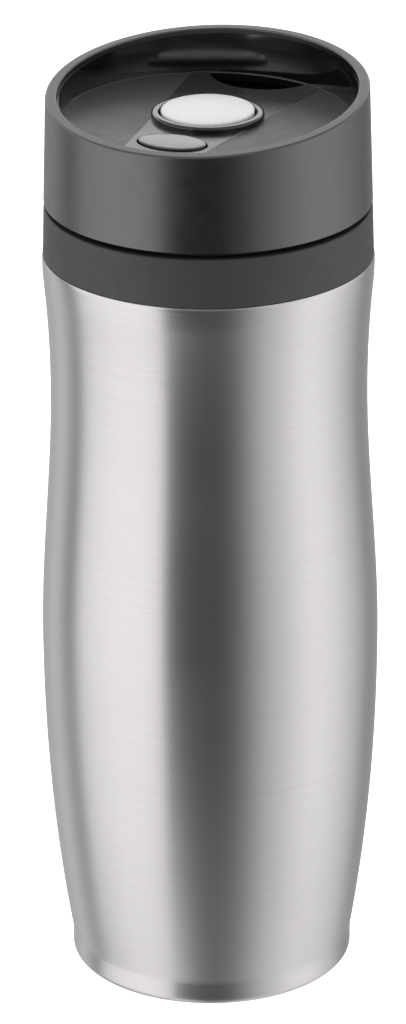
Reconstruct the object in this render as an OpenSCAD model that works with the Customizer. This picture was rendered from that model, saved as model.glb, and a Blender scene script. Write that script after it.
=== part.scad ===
// Insulated travel mug: double-walled steel body, plastic collar and a screw lid with a push-button valve.
// Millimetres, +Z up, origin at the centre of the base. The drinking side of the lid is +Y.

/* [Steel body] */
// Height of the steel body up to the plastic collar
body_h = 166.4; // [165:0.1:172]
// Radius of the straight band at the base, which stands in a cup holder
base_r = 31.2; // [30:0.1:32.5]
// Height of the straight band
band_h = 5.5; // [5:0.5:11]
// Largest radius of the belly
belly_r = 36.95; // [36:0.05:38]
// Height of the belly
belly_z = 78; // [72:1:84]
// Radius of the waist that the hand holds
waist_r = 34.35; // [34:0.05:35]
// Height of the waist
waist_z = 136; // [134:1:142]
// Radius at the top edge of the steel
shoulder_r = 35.75; // [35.6:0.05:36]
// Thickness of the steel walls
steel_t = 0.6; // [0.5:0.1:0.7]
// Distance from the outside of the shell to the inside of the liner
wall_gap = 4; // [3.5:0.1:4.5]

/* [Collar] */
// Height of the plastic collar on the neck
collar_h = 10.9; // [10.5:0.1:12]
// Radius of the collar at its top edge
collar_top_r = 35.25; // [35.2:0.05:35.4]

/* [Lid] */
// Dark gap between the collar and the lid
lid_gap = 1; // [0.8:0.1:1.4]
// Height of the lid's casing on the mug's axis
lid_h = 24.6; // [24:0.1:26]
// Radius of the casing at its lower edge
lid_r = 35.25; // [35.1:0.05:35.5]
// How much the casing narrows for each millimetre of height
lid_taper = 0.03; // [0.02:0.005:0.04]
// Tilt of the rim, which is highest at the drinking side
rim_tilt = 5.7; // [4:0.1:7]
// Fall of the drinking bowl's floor towards the drinking side, degrees
floor_tilt = 1; // [0.5:0.1:2]
// Height of the bowl's floor below the rim, on the axis
floor_drop = 6.3; // [6:0.1:8]

/* [Thread] */
// Rise of the lid for one whole turn
thread_lead = 12; // [10:0.5:14]
// Number of thread starts
thread_starts = 3; // [2:1:3]
// Angle that each thread ridge covers
thread_arc = 100; // [60:5:110]

/* [Button and valve] */
// Radius of the push button
button_r = 10; // [9.9:0.1:10]
// Travel of the push button and the valve
button_travel = 4; // [3:0.5:4]
// Radius of the valve stem
stem_r = 2.2; // [2:0.1:2.4]
// Radius of the valve opening
valve_r = 9; // [8:0.5:9]
// Half width of the oval release key
key_a = 7.45; // [7:0.05:7.8]
// Half depth of the oval release key
key_b = 4.9; // [4.8:0.1:5.1]
// Distance of the release key from the mug's axis
key_y = 19.6; // [19.4:0.1:19.6]

/* [Hidden] */
$fn = 96;

// Gap between pieces that move on each other, and between fixed round pieces that only touch
move_gap = 0.3;
fit_gap = 0.05;
// A cut runs past the face that it opens by this much
past = 1;

// Steel body
edge_r = 1.6;
foot_r = base_r - edge_r;
liner_floor_z = 7.2;
liner_corner_r = 6;
throat_r = 27.4;
ledge_z = body_h - 6.4;
throat_z = ledge_z - 3;
liner_top_z = throat_z - 7;
neck_r = 30.4;
neck_out_r = 33;
flare_z = body_h - 6.4;
flare_r = shoulder_r - 0.25;
lip_z = body_h + 9.2;
bottom_plate_z = 2.6;
bottom_plate_t = 0.6;
exhaust_r = 1.5;

// Collar and lid levels
collar_z = body_h + collar_h;
lid_z = collar_z + lid_gap;
rim_z = lid_z + lid_h;
floor_z = rim_z - floor_drop;
floor_t = 1.6;
shell_t = 1.2;
bowl_t = 1.2;
rim_lip = 1.2;
rim_open_r = 32.1;
bowl_foot_r = 31.15;
bowl_draft = 0.13;
strip_rise = 0.15;
key_proud = 0.7;
button_rise = 2.4;
collar_rise = 1.4;

// Stopper
plug_r = 29.2;
plug_in_r = 27.4;
thread_crest = 30.1;
thread_root_z = body_h + 0.1;
spigot_r = 26;
seal_r = 29.1;
seal_h = 2.3;
spigot_z = ledge_z - 1.2;
valve_floor_t = 1.8;
plug_floor_z = ledge_z + seal_h + 0.1;
flange_z = lid_z + 0.3;
flange_t = 1.8;
flange_r = 33.9;
bowl_seal_t = 1;

// Mechanism
collar_bore_r = button_r + 0.35;
sleeve_r = 11.5;
sleeve_z = floor_z - 5.1;
button_collar_r = 12.1;
button_z = floor_z - 8.8;
catch_h = 4;
neck_in_r = button_r - 0.8;
housing_z = floor_z - 18.1;
housing_t = 1.5;
housing_r = 13.4;
housing_in_r = 12;
box_z = floor_z - 14.6;
box_a = 9.6;
box_wall = 1.4;
box_y = 26.4;
pivot_y = 15;
pivot_z = floor_z - 11.5;
pin_r = 0.8;
prong_x = 4.4;
screw_x = 16.2;
screw_y = 6;
screw_r = 1.1;
ear_t = 2;
boss_z = floor_z - 8.1;

// Valve
disc_z = spigot_z - 3.6;
disc_r = 12.5;
disc_t = 2;
valve_seal_t = spigot_z - disc_z - disc_t - fit_gap;
hub_z = disc_z - 2;
stem_top_z = button_z + 7.9;

// ---- Outlines and shared shapes ----

// Height, radius and slope of the shell's outline at the band, belly, waist, flare and shoulder
SHELL_KNOTS = [
    [band_h, base_r, 0.168],
    [belly_z, belly_r, 0],
    [waist_z, waist_r, 0],
    [flare_z, flare_r, 0.1],
    [body_h, shoulder_r, 0]
];

// Cubic between two knots, at the fraction t of the way
function curve_r(a, b, t) =
    let (h = b[0] - a[0])
    a[1] * (2 * t ^ 3 - 3 * t ^ 2 + 1) + b[1] * (3 * t ^ 2 - 2 * t ^ 3)
    + a[2] * h * (t ^ 3 - 2 * t ^ 2 + t) + b[2] * h * (t ^ 3 - t ^ 2);

// Radius of the shell at a height above the band
function shell_r(z) =
    let (k = z < belly_z ? 0 : z < waist_z ? 1 : z < flare_z ? 2 : 3)
    let (a = SHELL_KNOTS[k], b = SHELL_KNOTS[k + 1])
    curve_r(a, b, (z - a[0]) / (b[0] - a[0]));

// Points [radius, height] that follow the shell at a distance inside it, between two heights
function shell_points(z0, z1, inset, steps) =
    [for (i = [0:steps]) let (z = z0 + (z1 - z0) * i / steps) [shell_r(z) - inset, z]];

// Quarter arc about a centre, from one angle to another
function arc(cx, cy, r, a0, a1, steps = 6) =
    [for (i = [0:steps]) let (a = a0 + (a1 - a0) * i / steps) [cx + r * cos(a), cy + r * sin(a)]];

// Outer radius of the lid's casing at a height
function lid_wall_r(z) = lid_r - lid_taper * (z - lid_z);

// Inner radius of the drinking bowl's wall, which widens upwards
function bowl_r(z) = bowl_foot_r + bowl_draft * (z - floor_z);

// Turned ring between two radii and two heights
module ring(r_in, r_out, z0, z1) {
    rotate_extrude()
        translate([r_in, z0])
            square([r_out - r_in, z1 - z0]);
}

// Everything above (side = 1) or below (side = -1) a plane that crosses the axis at z and tilts about X
module half_space(z, tilt, side) {
    translate([0, 0, z])
        rotate([tilt, 0, 0])
            translate([-60, -60, side > 0 ? 0 : -120])
                cube(120);
}

// Upright rod of an oval section
module oval_rod(a, b, z0, z1) {
    translate([0, 0, z0])
        linear_extrude(z1 - z0)
            polygon([for (t = [0:7.5:352.5]) [a * cos(t), b * sin(t)]]);
}

// Tapered solid inside the casing's wall, at a distance in from its outer face
module lid_cone(inset, z0, z1) {
    rotate_extrude()
        polygon([[0, z0], [lid_wall_r(z0) - inset, z0], [lid_wall_r(z1) - inset, z1], [0, z1]]);
}

// Thread ridges: one for each start, rising along a helix. root and crest are the ridge's radii.
module thread_ridges(root, crest, z) {
    steps = 20;
    root_h = 0.8;
    crest_h = 0.45;
    for (s = [0:thread_starts - 1]) {
        points = [
            for (i = [0:steps])
                let (turn = thread_arc * i / steps, a = turn + s * 360 / thread_starts)
                let (h = z + thread_lead * turn / 360)
                each [
                    [root * cos(a), root * sin(a), h - root_h],
                    [crest * cos(a), crest * sin(a), h - crest_h],
                    [crest * cos(a), crest * sin(a), h + crest_h],
                    [root * cos(a), root * sin(a), h + root_h]
                ]
        ];
        sides = [
            for (i = [0:steps - 1], k = [0:3])
                let (a = 4 * i + k, b = 4 * i + (k + 1) % 4)
                [a, b, b + 4, a + 4]
        ];
        caps = [[3, 2, 1, 0], [4 * steps, 4 * steps + 1, 4 * steps + 2, 4 * steps + 3]];
        faces = concat(sides, caps);
        polyhedron(points, crest > root ? faces : [for (f = faces) [for (i = [len(f) - 1:-1:0]) f[i]]]);
    }
}

// Coil spring between two heights
module coil(mean_r, wire_r, z0, z1, turns) {
    per_turn = 16;
    sides = 6;
    n = turns * per_turn;
    rise = z1 - z0 - 2 * wire_r;
    points = [
        for (i = [0:n], k = [0:sides - 1])
            let (a = 360 * i / per_turn, b = 360 * k / sides, r = mean_r + wire_r * cos(b))
            [r * cos(a), r * sin(a), z0 + wire_r + rise * i / n + wire_r * sin(b)]
    ];
    walls = [
        for (i = [0:n - 1], k = [0:sides - 1])
            let (a = sides * i + k, b = sides * i + (k + 1) % sides)
            each [[a, b, b + sides], [a, b + sides, a + sides]]
    ];
    first = [for (k = [sides - 1:-1:0]) k];
    last = [for (k = [0:sides - 1]) n * sides + k];
    polyhedron(points, concat(walls, [first, last]));
}

// ---- Mug body ----

// Outer steel wall, with a short inturned foot below and the neck that carries the collar above
module outer_shell() {
    neck_z = lip_z - steel_t;
    foot_w = 0.8;
    color("silver")
        rotate_extrude()
            polygon(concat(
                arc(foot_r, edge_r, edge_r, -90, 0),
                [[base_r, band_h]],
                shell_points(band_h + 1, body_h, 0, 44),
                [[neck_out_r, body_h], [neck_out_r, neck_z], [neck_out_r - steel_t, neck_z]],
                [[neck_out_r - steel_t, body_h - steel_t]],
                shell_points(body_h - steel_t, band_h + 1, steel_t, 44),
                [[base_r - steel_t, band_h], [base_r - steel_t, edge_r]],
                [[foot_r, steel_t], [foot_r - foot_w, steel_t], [foot_r - foot_w, 0]]
            ));
}

// Inner steel cup: round bottom corner, throat with the sealing ledge, threaded neck and welded lip
module inner_liner() {
    corner_z = liner_floor_z + liner_corner_r;
    wall_z = corner_z + 3;
    floor_r = shell_r(wall_z) - wall_gap - liner_corner_r;
    lip_under_z = lip_z - steel_t + 0.02;
    color("lightgray")
        union() {
            rotate_extrude()
                polygon(concat(
                    [[0, liner_floor_z], [floor_r, liner_floor_z]],
                    arc(floor_r, corner_z, liner_corner_r, -80, -10),
                    shell_points(wall_z, liner_top_z, wall_gap, 34),
                    [[throat_r, throat_z], [throat_r, ledge_z], [neck_r, ledge_z], [neck_r, lip_z]],
                    [[neck_out_r, lip_z], [neck_out_r, lip_under_z], [neck_r + steel_t, lip_under_z]],
                    [[neck_r + steel_t, ledge_z - steel_t], [throat_r + steel_t, ledge_z - steel_t]],
                    [[throat_r + steel_t, throat_z]],
                    shell_points(liner_top_z, wall_z, wall_gap - steel_t, 34),
                    arc(floor_r, corner_z, liner_corner_r + steel_t, -10, -80),
                    [[floor_r, liner_floor_z - steel_t], [0, liner_floor_z - steel_t]]
                ));
            thread_ridges(neck_r + 0.3, plug_r + move_gap, thread_root_z);
        }
}

// Disc that closes the vacuum space from below, with the hole that the air is drawn out of
module bottom_plate() {
    rim_r = base_r - steel_t - fit_gap;
    color("silver")
        difference() {
            union() {
                ring(0, rim_r, bottom_plate_z, bottom_plate_z + bottom_plate_t);
                ring(rim_r - bottom_plate_t, rim_r, edge_r + 0.4, bottom_plate_z + bottom_plate_t);
            }
            translate([0, 0, bottom_plate_z - past])
                cylinder(r = exhaust_r, h = bottom_plate_t + 2 * past);
        }
}

// Solder bead in the exhaust hole
module exhaust_seal() {
    bead_t = 0.5;
    color("gray")
        union() {
            translate([0, 0, bottom_plate_z - bead_t])
                cylinder(r = 2 * exhaust_r, h = bead_t);
            translate([0, 0, bottom_plate_z - bead_t / 2])
                cylinder(r = exhaust_r - 0.02, h = bottom_plate_t + bead_t / 2);
        }
}

// Pill in the vacuum space that takes up the last of the gas
module getter_capsule() {
    getter_r = 4;
    getter_h = 2.2;
    color("dimgray")
        translate([14, 0, bottom_plate_z + bottom_plate_t])
            difference() {
                cylinder(r = getter_r, h = getter_h);
                translate([0, 0, getter_h - 0.4])
                    cylinder(r = getter_r - 0.8, h = past);
            }
}

// Pressed disc that covers the bottom plate, with a shallow ring bead
module base_cover() {
    cover_r = foot_r - 0.9;
    cover_z = 0.9;
    cover_t = 0.5;
    color("silver")
        rotate_extrude()
            polygon([
                [0, cover_z], [20, cover_z], [21, cover_z - 0.4], [24, cover_z - 0.4], [25, cover_z],
                [cover_r, cover_z], [cover_r, cover_z + cover_t], [24.7, cover_z + cover_t],
                [23.8, cover_z + cover_t - 0.4], [21.2, cover_z + cover_t - 0.4], [20.3, cover_z + cover_t],
                [0, cover_z + cover_t]
            ]);
}

// Plastic collar around the neck, a little inside the steel's edge, with a lip over the welded rim
module collar_ring() {
    color([0.2, 0.2, 0.2])
        rotate_extrude()
            polygon(concat(
                [[neck_out_r + fit_gap, body_h + fit_gap], [shoulder_r - 0.2, body_h + fit_gap]],
                arc(collar_top_r - 0.4, collar_z - 0.4, 0.4, 0, 90, 4),
                [[31.4, collar_z], [31.4, lip_z + fit_gap], [neck_out_r + fit_gap, lip_z + fit_gap]]
            ));
}

// ---- Lid ----

// Silicone ring between the lid and the ledge in the throat
module lid_seal() {
    in_r = spigot_r + fit_gap;
    low_z = ledge_z + fit_gap;
    high_z = low_z + seal_h - 0.1;
    color("gainsboro")
        rotate_extrude()
            polygon([
                [in_r, low_z + 0.3], [in_r + 0.6, low_z], [seal_r - 0.5, low_z], [seal_r, low_z + 0.5],
                [seal_r - 0.6, low_z + 1], [seal_r, high_z - 0.5], [seal_r - 0.5, high_z], [in_r, high_z]
            ]);
}

// Satin casing of the lid: tapered wall with a slanted rim that turns in over the bowl
module lid_shell() {
    color([0.25, 0.25, 0.26])
        difference() {
            lid_cone(0, lid_z, rim_z + 8);
            half_space(rim_z, rim_tilt, 1);
            intersection() {
                lid_cone(shell_t, lid_z - past, rim_z + 8);
                half_space(rim_z - rim_lip, rim_tilt, -1);
            }
            translate([0, 0, lid_z])
                cylinder(r = rim_open_r, h = 60);
        }
}

// Drinking bowl: wall behind the rim, sloping floor with the drink opening, and bosses for the mechanism
module drip_bowl() {
    wall_inset = shell_t + 0.07;
    wall_z = flange_z + flange_t + bowl_seal_t;
    skirt_in_r = lid_wall_r(floor_z) - wall_inset - bowl_t;
    color([0.1, 0.1, 0.1])
        difference() {
            union() {
                difference() {
                    lid_cone(wall_inset, wall_z, rim_z + 6);
                    half_space(rim_z - rim_lip - fit_gap, rim_tilt, 1);
                    rotate_extrude()
                        polygon([
                            [0, wall_z - past], [skirt_in_r, wall_z - past], [skirt_in_r, floor_z - 3],
                            [bowl_r(floor_z - 2), floor_z - 2], [bowl_r(rim_z + 8), rim_z + 8], [0, rim_z + 8]
                        ]);
                }
                intersection() {
                    lid_cone(wall_inset + bowl_t / 2, floor_z - 6, floor_z + 6);
                    half_space(floor_z, -floor_tilt, -1);
                    half_space(floor_z - floor_t, -floor_tilt, 1);
                }
                intersection() {
                    lid_cone(wall_inset + bowl_t / 2, floor_z - 6, floor_z + 6);
                    half_space(floor_z + strip_rise, -floor_tilt, -1);
                    strip_prism();
                }
                intersection() {
                    for (s = [-1, 1])
                        translate([s * screw_x, screw_y, boss_z])
                            cylinder(r = 2.6, h = floor_z - boss_z - floor_t / 2);
                    half_space(floor_z, -floor_tilt, -1);
                }
            }
            translate([0, 0, floor_z - 10])
                cylinder(r = sleeve_r + fit_gap, h = 20);
            drink_hole();
            translate([0, -key_y, 0])
                oval_rod(key_a + move_gap, key_b + move_gap, floor_z - 5, floor_z + 5);
            for (s = [-1, 1])
                translate([s * screw_x, screw_y, boss_z - past])
                    cylinder(r = screw_r + fit_gap, h = 6 + past);
        }
}

// Upright block around the raised strip, which widens from the key to the drink opening and leaves room
// for the button's ring
module strip_prism() {
    reach = 34;
    mid_w = 11.35;
    widening = 0.12 * reach;
    near_w = mid_w - widening;
    far_w = mid_w + widening;
    translate([0, 0, floor_z - floor_t / 2])
        difference() {
            linear_extrude(4)
                polygon([[-near_w, -reach], [near_w, -reach], [far_w, reach], [-far_w, reach]]);
            translate([0, 0, -past])
                cylinder(r = button_collar_r + fit_gap, h = 4 + 2 * past);
        }
}

// Drink opening at the foot of the bowl's wall, on the drinking side
module drink_hole() {
    hole_r = 12;
    near_y = 21.2;
    far_r = 31;
    translate([0, 0, floor_z - 6])
        intersection() {
            translate([0, near_y + hole_r, 0])
                cylinder(r = hole_r, h = 9);
            cylinder(r = far_r, h = 9);
        }
}

// Threaded stopper: thin-walled plug, spigot for the seal, valve seat and the flange that closes the casing
module stopper_body() {
    wall = plug_r - plug_in_r;
    lip_r = throat_r - move_gap;
    flange_under_z = collar_z + move_gap;
    color([0.3, 0.3, 0.3])
        union() {
            rotate_extrude()
                polygon([
                    [valve_r, spigot_z], [lip_r, spigot_z], [lip_r, spigot_z + 0.9],
                    [spigot_r, spigot_z + 0.9], [spigot_r, plug_floor_z], [plug_r, plug_floor_z],
                    [plug_r, flange_under_z], [flange_r, flange_under_z], [flange_r, flange_z + flange_t],
                    [plug_in_r, flange_z + flange_t], [plug_in_r, plug_floor_z + wall],
                    [spigot_r - wall, plug_floor_z + wall], [spigot_r - wall, spigot_z + valve_floor_t],
                    [valve_r, spigot_z + valve_floor_t]
                ]);
            thread_ridges(plug_r - 0.3, thread_crest, thread_root_z - 1.9);
        }
}

// Silicone ring between the bowl's wall and the stopper's flange
module bowl_seal() {
    low_z = flange_z + flange_t;
    low_r = lid_wall_r(flange_z) - shell_t - 1.6;
    color("dimgray")
        ring(low_r, flange_r - 0.1, low_z, low_z + bowl_seal_t - fit_gap);
}

// Ring around the button, square to the bowl's sloping floor, with the upright sleeve that guides the button
module button_collar() {
    flange_in_r = collar_bore_r + 0.05;
    color("black")
        union() {
            ring(collar_bore_r, sleeve_r, sleeve_z, floor_z + collar_rise - 0.8);
            difference() {
                translate([0, 0, floor_z])
                    rotate([-floor_tilt, 0, 0])
                        rotate_extrude()
                            polygon(concat(
                                [[flange_in_r, -2], [button_collar_r, -2]],
                                arc(button_collar_r - 0.6, collar_rise - 0.6, 0.6, 0, 90, 4),
                                arc(flange_in_r + 0.4, collar_rise - 0.4, 0.4, 90, 180, 4)
                            ));
                half_space(floor_z + 0.01, -floor_tilt, -1);
            }
        }
}

// Cup under the bowl that holds the springs and the latch, with a sealed guide for the valve stem
module latch_housing() {
    boss_r = 5;
    top_z = floor_z - floor_t - 0.02;
    color([0.35, 0.35, 0.36])
        difference() {
            union() {
                ring(0, housing_r, housing_z, floor_z);
                translate([-box_a, -box_y, box_z])
                    cube([2 * box_a, box_y - housing_in_r, floor_z + 3 - box_z]);
                translate([0, 0, housing_z - 3.5])
                    cylinder(r = boss_r, h = 4);
                for (s = [-1, 1])
                    screw_ear(s);
            }
            half_space(top_z, -floor_tilt, 1);
            translate([0, 0, housing_z + housing_t])
                cylinder(r = housing_in_r, h = 30);
            translate([-box_a + box_wall, -box_y + box_wall, box_z + housing_t])
                cube([2 * (box_a - box_wall), box_y - box_wall - housing_in_r - box_wall, 30]);
            translate([-6.4, -housing_r - past, box_z + housing_t])
                cube([12.8, housing_r - 8, 7.6]);
            translate([0, 0, housing_z - 5])
                cylinder(r = stem_r + fit_gap, h = 10);
            translate([0, 0, housing_z - 3.5 - past])
                cylinder(r = 3.6, h = 2 + past);
            translate([-box_a - past, -pivot_y, pivot_z])
                rotate([0, 90, 0])
                    cylinder(r = pin_r + 0.02, h = 2 * (box_a + past));
            for (s = [-1, 1])
                translate([s * screw_x, screw_y, boss_z - 5])
                    cylinder(r = screw_r + 0.2, h = 10);
        }
}

// Ear that carries one housing screw
module screw_ear(side) {
    translate([0, 0, boss_z - ear_t - 0.02])
        union() {
            translate([side * screw_x, screw_y, 0])
                cylinder(r = 3.2, h = ear_t);
            translate([side > 0 ? housing_r - 2.6 : -screw_x, screw_y - 2, 0])
                cube([screw_x - housing_r + 2.6, 4, ear_t]);
        }
}

// The two screws that hold the housing to the bowl
module housing_screws() {
    head_t = 1.4;
    head_z = boss_z - ear_t - 0.04;
    color("silver")
        for (s = [-1, 1])
            translate([s * screw_x, screw_y, head_z])
                difference() {
                    union() {
                        cylinder(r = screw_r, h = 7);
                        translate([0, 0, -head_t])
                            cylinder(r = 2.2 * screw_r, h = head_t);
                    }
                    for (a = [0, 90])
                        rotate([0, 0, a])
                            translate([-1.5, -0.3, -head_t - past])
                                cube([3, 0.6, 0.7 + past]);
                }
}

// Silicone ring around the stem, in the bottom of the housing
module stem_seal() {
    color("gainsboro")
        ring(stem_r + fit_gap, 3.55, housing_z - 3.4, housing_z - 1.6);
}

// Steel pin that the latch lever turns on
module latch_pin() {
    color("silver")
        translate([-box_a, -pivot_y, pivot_z])
            rotate([0, 90, 0])
                cylinder(r = pin_r, h = 2 * box_a);
}

// Spring that lifts the button and closes the valve
module return_spring() {
    color("silver")
        coil(6.6, 0.45, housing_z + housing_t + 0.02, button_z + 8.85, 7);
}

// Small spring under the release key
module release_spring() {
    color("silver")
        translate([0, -key_y, 0])
            coil(2.1, 0.22, box_z + housing_t + 0.02, floor_z - 5.15, 5);
}

// ---- Button and valve ----

// White button: domed cap, neck for the latch, catch rim below and a socket for the stem
module push_button() {
    top_z = floor_z + button_rise;
    cap_under_z = button_z + 8.9;
    dome_r = (button_r ^ 2 + 0.5 ^ 2) / (2 * 0.5);
    edge_z = top_z - 0.5;
    color("white")
        difference() {
            intersection() {
                rotate_extrude()
                    polygon([
                        [0, button_z], [button_r, button_z], [button_r, button_z + catch_h],
                        [neck_in_r, button_z + catch_h], [neck_in_r, sleeve_z + catch_h + 0.2],
                        [button_r, sleeve_z + catch_h + 0.6], [button_r, edge_z - 0.4],
                        [button_r - 0.4, top_z + 1], [0, top_z + 1]
                    ]);
                translate([0, 0, top_z - dome_r])
                    sphere(r = dome_r, $fn = 192);
            }
            difference() {
                translate([0, 0, button_z - past])
                    cylinder(r = neck_in_r - 1, h = cap_under_z - button_z + past);
                translate([0, 0, button_z + 2])
                    cylinder(r = 4, h = 10);
            }
            translate([0, 0, button_z])
                cylinder(r = stem_r + 0.02, h = stem_top_z - button_z + 0.1);
        }
}

// Steel stem from the button to the valve
module valve_stem() {
    color("silver")
        difference() {
            translate([0, 0, hub_z])
                cylinder(r = stem_r, h = stem_top_z - hub_z);
            translate([0, 0, hub_z - past])
                cylinder(r = 1.25, h = 8 + past);
        }
}

// Plastic disc that carries the valve seal
module valve_disc() {
    color([0.3, 0.3, 0.3])
        difference() {
            union() {
                translate([0, 0, disc_z])
                    cylinder(r = disc_r, h = disc_t);
                translate([0, 0, hub_z])
                    cylinder(r = 4.5, h = disc_z - hub_z + past);
            }
            translate([0, 0, hub_z - past])
                cylinder(r = stem_r + 0.02, h = 10);
        }
}

// Silicone ring that closes against the stopper's seat
module valve_seal() {
    color("gainsboro")
        ring(6.5, 11.8, disc_z + disc_t, disc_z + disc_t + valve_seal_t);
}

// Screw that holds the valve disc on the stem
module stem_screw() {
    head_t = 1.8;
    color("silver")
        difference() {
            union() {
                translate([0, 0, hub_z - head_t])
                    cylinder(r = 3.6, h = head_t);
                translate([0, 0, hub_z - past])
                    cylinder(r = 1.2, h = 7 + past);
            }
            for (a = [0, 90])
                rotate([0, 0, a])
                    translate([-2, -0.4, hub_z - head_t - past])
                        cube([4, 0.8, 0.9 + past]);
        }
}

// ---- Release key and latch ----

// Oval key in the bowl's floor, with two prongs that press on the latch lever
module release_key() {
    low_z = floor_z - 5.1;
    prong_z = pivot_z + 1.6;
    color([0.1, 0.1, 0.1])
        union() {
            difference() {
                translate([0, -key_y, 0])
                    oval_rod(key_a, key_b, low_z, floor_z + 6);
                half_space(floor_z + key_proud, -floor_tilt, 1);
            }
            for (s = [-1, 1])
                translate([s * prong_x - 0.6, -pivot_y - 5.6, prong_z])
                    cube([1.2, 1.2, low_z - prong_z + past]);
        }
}

// Lever that holds the pressed button: tooth above the pivot, fork under the key's prongs
module latch_lever() {
    tooth_z = button_z + catch_h - button_travel + 0.2;
    tooth_h = 1.5;
    tooth_y = button_r + move_gap;
    hub_r = 1.3;
    hub_a = 6;
    color([0.55, 0.55, 0.55])
        difference() {
            union() {
                translate([-hub_a, -pivot_y, pivot_z])
                    rotate([0, 90, 0])
                        cylinder(r = hub_r, h = 2 * hub_a);
                translate([-3, -pivot_y - 1, pivot_z])
                    cube([6, 2, tooth_z + tooth_h - pivot_z]);
                translate([-2.5, -pivot_y, tooth_z])
                    cube([5, pivot_y - tooth_y, tooth_h]);
                for (s = [-1, 1])
                    translate([s * prong_x - 1, -pivot_y - 6, pivot_z + 0.3])
                        cube([2, 6, 1]);
            }
            translate([-hub_a - past, -pivot_y, pivot_z])
                rotate([0, 90, 0])
                    cylinder(r = pin_r + 0.06, h = 2 * (hub_a + past));
        }
}

outer_shell();
inner_liner();
bottom_plate();
exhaust_seal();
getter_capsule();
base_cover();
collar_ring();
lid_seal();
lid_shell();
drip_bowl();
stopper_body();
bowl_seal();
button_collar();
latch_housing();
housing_screws();
stem_seal();
latch_pin();
return_spring();
release_spring();
push_button();
valve_stem();
valve_disc();
valve_seal();
stem_screw();
release_key();
latch_lever();
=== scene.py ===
"""Insulated travel mug: brushed steel body, satin black collar and lid, white push button and oval key."""

import math

import bmesh
import bpy
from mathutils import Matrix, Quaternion, Vector
from mathutils.geometry import delaunay_2d_cdt


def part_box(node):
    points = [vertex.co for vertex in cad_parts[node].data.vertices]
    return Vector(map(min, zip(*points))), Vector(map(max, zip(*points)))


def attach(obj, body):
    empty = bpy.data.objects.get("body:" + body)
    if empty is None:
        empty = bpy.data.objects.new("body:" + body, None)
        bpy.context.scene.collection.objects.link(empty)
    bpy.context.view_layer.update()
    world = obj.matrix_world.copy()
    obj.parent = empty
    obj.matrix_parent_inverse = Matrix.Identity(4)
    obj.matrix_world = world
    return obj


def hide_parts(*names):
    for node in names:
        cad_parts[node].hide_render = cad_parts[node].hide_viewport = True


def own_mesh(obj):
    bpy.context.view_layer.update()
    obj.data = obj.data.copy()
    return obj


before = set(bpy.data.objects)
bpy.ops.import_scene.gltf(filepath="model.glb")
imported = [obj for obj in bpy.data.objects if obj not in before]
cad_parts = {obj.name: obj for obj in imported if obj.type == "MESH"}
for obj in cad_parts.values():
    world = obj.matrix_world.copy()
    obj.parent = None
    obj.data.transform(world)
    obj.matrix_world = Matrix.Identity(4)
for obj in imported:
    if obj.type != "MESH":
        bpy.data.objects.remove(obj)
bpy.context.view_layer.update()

MM = 0.001
TURN = 2 * math.pi
SEGMENTS = 192

# ---- Sizes taken from the frame, in metres ----

BODY_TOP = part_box("collar_ring")[0].z
COLLAR_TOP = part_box("collar_ring")[1].z
LID_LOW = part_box("lid_shell")[0].z
LID_R = 35.25 * MM
STEEL_LOW_R = 31.2 * MM
STEEL_T = 0.6 * MM
LIP_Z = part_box("inner_liner")[1].z
NECK_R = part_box("inner_liner")[1].x
BUTTON_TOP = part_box("push_button")[1].z
BUTTON_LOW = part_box("push_button")[0].z
SPIGOT_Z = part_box("stopper_body")[0].z

# The lid's slopes: the casing tapers, the rim rises and the bowl's floor falls towards the drinking side
TAPER = 0.03
RIM_SLOPE = math.tan(math.radians(5.7))
FLOOR_SLOPE = -math.tan(math.radians(1))
RIM_Z = LID_LOW + 24.6 * MM
FLOOR_Z = RIM_Z - 6.3 * MM

# Height, radius and slope of the steel's outline at the band, belly, waist, flare and shoulder
SHELL_KNOTS = [
    (5.5 * MM, STEEL_LOW_R, 0.168),
    (78 * MM, 36.95 * MM, 0),
    (136 * MM, 34.35 * MM, 0),
    (160 * MM, 35.5 * MM, 0.1),
    (166.4 * MM, 35.75 * MM, 0),
]

# The camera looks from this azimuth, and the studio is set out around it
VIEW_AZIMUTH = math.radians(22.5)

# The mug's three-start thread: rise for one turn, the angle of one ridge and the ridges' crests
THREAD_STARTS = 3
THREAD_LEAD = 12 * MM
THREAD_SWEEP = math.radians(100)
NECK_CREST_R = 29.5 * MM
PLUG_CREST_R = 30.1 * MM


# ---- Mesh helpers ----

def upright(theta, r, z):
    return Vector((r * math.cos(theta), r * math.sin(theta), z))


def arc(x, z, radius, start, end, steps):
    """Points (x, z) on an arc about a centre, between two angles in degrees."""
    angles = [math.radians(start + (end - start) * k / steps) for k in range(steps + 1)]
    return [(x + radius * math.cos(a), z + radius * math.sin(a)) for a in angles]


def rounded(corners, steps=6):
    """Outline through corners (x, y) or (x, y, radius), with an arc at each corner that has a radius."""
    points = []
    for k, corner in enumerate(corners):
        here = Vector(corner[:2])
        if len(corner) == 2:
            points.append(tuple(here))
            continue
        radius = corner[2]
        back = (Vector(corners[k - 1][:2]) - here).normalized()
        ahead = (Vector(corners[(k + 1) % len(corners)][:2]) - here).normalized()
        half = back.angle(ahead) / 2
        centre = here + (back + ahead).normalized() * (radius / math.sin(half))
        start = here + back * (radius / math.tan(half)) - centre
        end = here + ahead * (radius / math.tan(half)) - centre
        for s in range(steps + 1):
            spoke = start.lerp(end, s / steps).normalized() * radius
            points.append(tuple(centre + spoke))
    return points


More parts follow.
